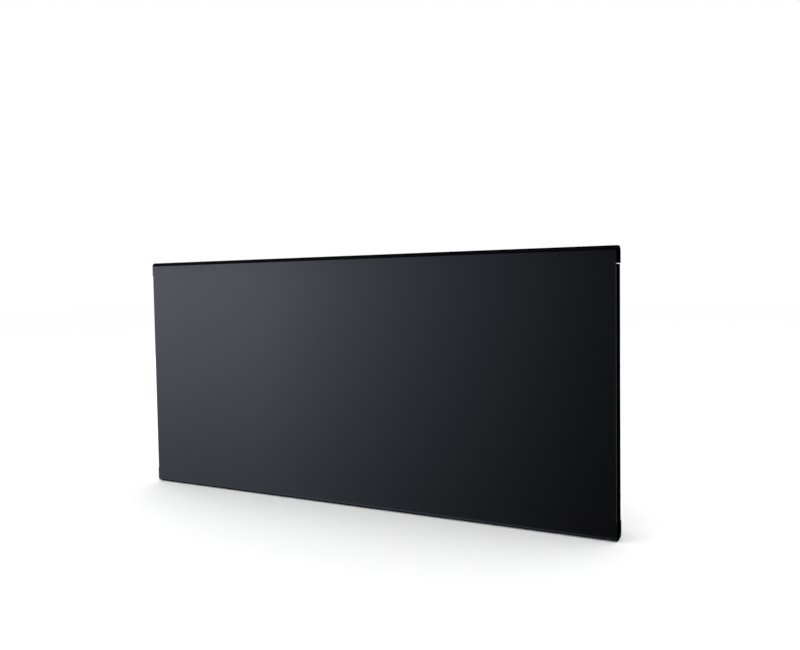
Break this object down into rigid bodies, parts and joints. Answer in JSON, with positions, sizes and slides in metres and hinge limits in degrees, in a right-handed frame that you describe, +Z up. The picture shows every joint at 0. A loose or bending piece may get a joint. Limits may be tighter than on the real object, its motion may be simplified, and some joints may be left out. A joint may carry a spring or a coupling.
{
  "type": "convector heater",
  "caption": "Flat wall-mounted panel convector heater with a folded steel front, slotted casing, finned element, end controls and a hinged wall bracket.",
  "frame": {"origin": "centre of the four wall holes, on the wall plane, at the middle of the panel's height", "axes": "+X to the right seen from the front, +Y into the wall, +Z up"},
  "size_m": [0.77, 0.092, 0.37],
  "materials": {
    "panel_paint": "satin black powder coat on steel sheet",
    "casing_paint": "matt black powder coat on steel sheet",
    "galvanised": "galvanised steel sheet",
    "zinc_fastener": "zinc plated steel",
    "aluminium": "extruded aluminium",
    "rod_steel": "heat-stained stainless steel",
    "ceramic": "glazed ceramic",
    "brass": "bare brass",
    "black_plastic": "fine-grained black plastic",
    "grey_plastic": "dark grey plastic",
    "white_plastic": "natural nylon",
    "smoked_window": "smoked clear acrylic",
    "rocker_plastic": "gloss black plastic",
    "circuit_board": "solder-masked glass laminate",
    "relay_case": "blue relay case",
    "module_can": "tinned screening can",
    "lead_brown": "brown silicone insulation",
    "lead_blue": "blue silicone insulation",
    "lead_red": "red silicone insulation",
    "lead_earth": "green insulation with a yellow stripe",
    "lead_black": "black insulation",
    "gland_plastic": "black nylon"
  },
  "bodies": {
    "wall_bracket": {"bracket_left_upright": "galvanised", "bracket_right_upright": "galvanised", "bracket_upper_rail": "galvanised", "bracket_lower_rail": "galvanised", "lock_pivots": "zinc_fastener"},
    "heater": {"front_panel": "panel_paint", "back_panel": "casing_paint", "inner_shield": "galvanised", "top_grille": "casing_paint", "bottom_grille": "casing_paint", "left_end_plate": "casing_paint", "right_end_plate": "casing_paint", "panel_hanger_rail": "galvanised", "panel_bottom_clips": "galvanised", "rivets": "zinc_fastener", "casing_screws": "zinc_fastener", "element_fins": "aluminium", "heating_rod": "rod_steel", "element_terminals": "brass", "element_insulators": "ceramic", "element_hangers": "galvanised", "cutout_bracket": "galvanised", "overheat_cutout": "grey_plastic", "control_partition": "galvanised", "terminal_block": "white_plastic", "terminal_screws": "brass", "earth_stud": "brass", "cord_gland": "gland_plastic", "gland_nut": "gland_plastic", "room_sensor": "grey_plastic", "live_lead": "lead_brown", "neutral_lead": "lead_blue", "switched_lead": "lead_brown", "element_lead": "lead_red", "cutout_lead": "lead_red", "return_lead": "lead_red", "earth_lead": "lead_earth", "sensor_lead": "lead_black", "lead_clips": "white_plastic", "control_fascia": "black_plastic", "display_window": "smoked_window", "display_module": "grey_plastic", "tact_switches": "black_plastic", "control_board": "circuit_board", "board_screws": "zinc_fastener", "power_relay": "relay_case", "wifi_module": "module_can", "power_supply": "black_plastic", "control_cover": "black_plastic", "mains_switch_body": "black_plastic", "hinge_lugs": "galvanised", "hinge_pins": "zinc_fastener", "spacer_feet": "grey_plastic"},
    "left_lock": {"left_lift_lock": "zinc_fastener"},
    "right_lock": {"right_lift_lock": "zinc_fastener"},
    "plus_key": {"plus_button": "grey_plastic"},
    "mode_key": {"mode_button": "grey_plastic"},
    "minus_key": {"minus_button": "grey_plastic"},
    "rocker": {"mains_rocker": "rocker_plastic"}
  },
  "joints": [
    {"name": "heater_tilt", "type": "hinge", "parent": "wall_bracket", "child": "heater", "pos_m": [0, -0.014, 0.118], "axis": [-1, 0, 0], "range_deg": [0, 25]},
    {"name": "left_lock_swing", "type": "hinge", "parent": "wall_bracket", "child": "left_lock", "pos_m": [-0.1645, -0.007, 0.127], "axis": [-1, 0, 0], "range_deg": [0, 75]},
    {"name": "right_lock_swing", "type": "hinge", "parent": "wall_bracket", "child": "right_lock", "pos_m": [0.1645, -0.007, 0.127], "axis": [-1, 0, 0], "range_deg": [0, 75]},
    {"name": "plus_press", "type": "slide", "parent": "heater", "child": "plus_key", "axis": [-1, 0, 0], "range_m": [0, 0.0006], "stiffness_N_per_m": 1500, "springref_m": -0.0002},
    {"name": "mode_press", "type": "slide", "parent": "heater", "child": "mode_key", "axis": [-1, 0, 0], "range_m": [0, 0.0006], "stiffness_N_per_m": 1500, "springref_m": -0.0002},
    {"name": "minus_press", "type": "slide", "parent": "heater", "child": "minus_key", "axis": [-1, 0, 0], "range_m": [0, 0.0006], "stiffness_N_per_m": 1500, "springref_m": -0.0002},
    {"name": "rocker_turn", "type": "hinge", "parent": "heater", "child": "rocker", "pos_m": [0.3525, -0.04625, -0.003], "axis": [0, 1, 0], "range_deg": [0, 16]}
  ]
}
